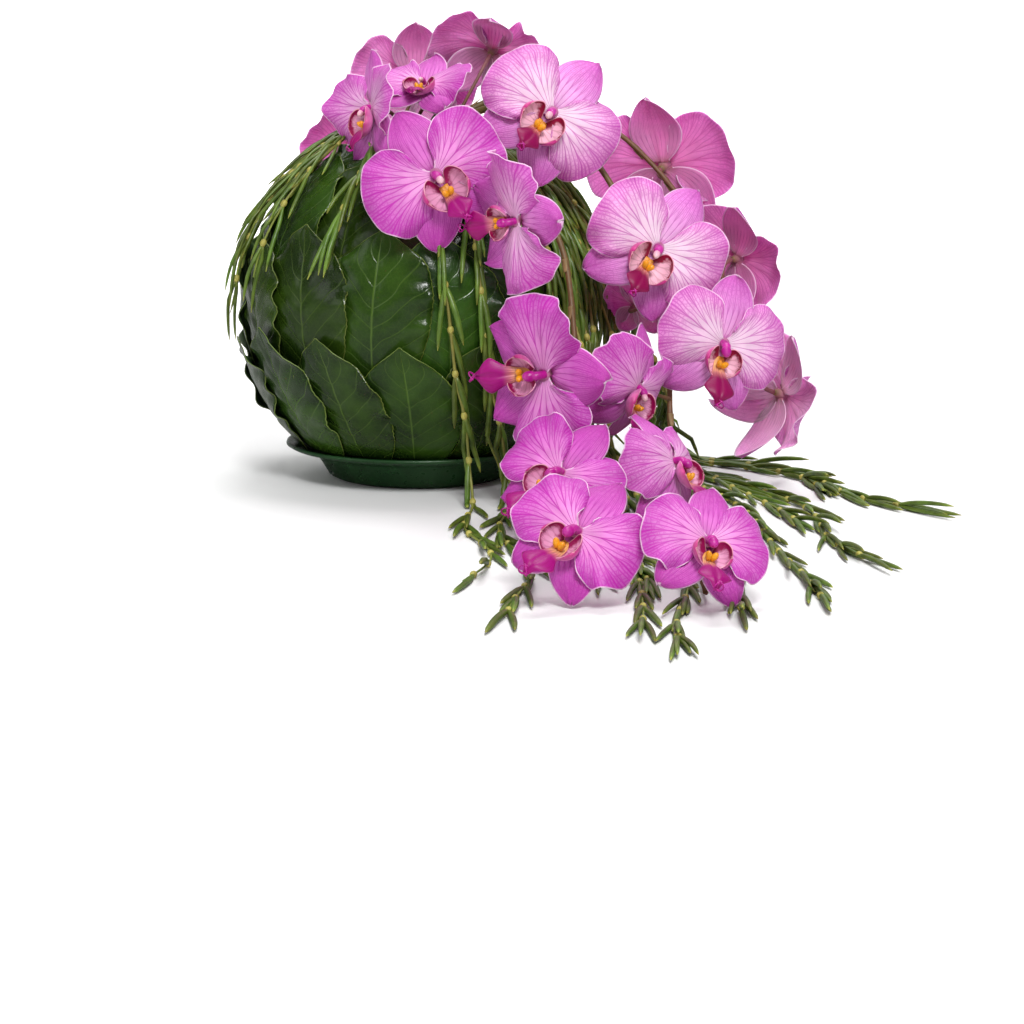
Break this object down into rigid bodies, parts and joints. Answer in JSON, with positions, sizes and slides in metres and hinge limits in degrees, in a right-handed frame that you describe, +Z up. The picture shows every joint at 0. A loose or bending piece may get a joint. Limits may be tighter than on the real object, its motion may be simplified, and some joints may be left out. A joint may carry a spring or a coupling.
{
  "type": "funeral flower arrangement",
  "caption": "Leaf-covered foam ball in a round plastic tray, with moth orchids and needle-leaved vines that arch over one side and trail along the surface.",
  "frame": {"origin": "centre of the tray's underside", "axes": "+Z up, -Y toward the front, +X toward the side that the orchids and vines trail over"},
  "size_m": [0.4803, 0.7274, 0.3242],
  "materials": {
    "green_plastic": "glossy moulded dark green",
    "anchor_plastic": "plain moulded green",
    "wet_foam": "fine open-cell foam, soaked",
    "glossy_leaf": "glossy dark green with paler veins and rims",
    "flower_stem": "satin brown olive",
    "orchid_petal": "soft satin, magenta veins on pink",
    "vine_green": "waxy green with yellowish tips"
  },
  "bodies": {
    "root": {"tray": "green_plastic", "foam_anchor": "anchor_plastic", "foam_ball": "wet_foam", "leaf_1_01": "glossy_leaf", "leaf_1_02": "glossy_leaf", "leaf_1_03": "glossy_leaf", "leaf_1_04": "glossy_leaf", "leaf_1_05": "glossy_leaf", "leaf_1_06": "glossy_leaf", "leaf_1_07": "glossy_leaf", "leaf_1_08": "glossy_leaf", "leaf_1_09": "glossy_leaf", "leaf_1_10": "glossy_leaf", "leaf_1_11": "glossy_leaf", "leaf_1_12": "glossy_leaf", "leaf_1_13": "glossy_leaf", "leaf_1_14": "glossy_leaf", "leaf_row_2": "glossy_leaf", "leaf_row_3": "glossy_leaf", "leaf_row_4": "glossy_leaf", "orchid_spike_1": "flower_stem", "orchid_spike_2": "flower_stem", "orchid_spike_3": "flower_stem", "orchid_spike_4": "flower_stem", "orchid_flower_01": "orchid_petal", "orchid_flower_02": "orchid_petal", "orchid_flower_03": "orchid_petal", "orchid_flower_04": "orchid_petal", "orchid_flower_05": "orchid_petal", "orchid_flower_06": "orchid_petal", "orchid_flower_07": "orchid_petal", "orchid_flower_08": "orchid_petal", "orchid_flower_09": "orchid_petal", "orchid_flower_10": "orchid_petal", "orchid_flower_11": "orchid_petal", "orchid_flower_12": "orchid_petal", "orchid_flower_13": "orchid_petal", "orchid_flower_14": "orchid_petal", "orchid_flower_15": "orchid_petal", "orchid_flower_16": "orchid_petal", "orchid_flower_17": "orchid_petal", "orchid_flower_18": "orchid_petal", "orchid_flower_19": "orchid_petal", "orchid_flower_20": "orchid_petal", "orchid_flower_21": "orchid_petal", "trailing_vine_01": "vine_green", "trailing_vine_02": "vine_green", "trailing_vine_03": "vine_green", "trailing_vine_04": "vine_green", "trailing_vine_05": "vine_green", "trailing_vine_06": "vine_green", "trailing_vine_07": "vine_green", "trailing_vine_08": "vine_green", "trailing_vine_09": "vine_green", "trailing_vine_10": "vine_green", "trailing_vine_11": "vine_green", "trailing_vine_12": "vine_green", "trailing_vine_13": "vine_green"}
  },
  "joints": []
}
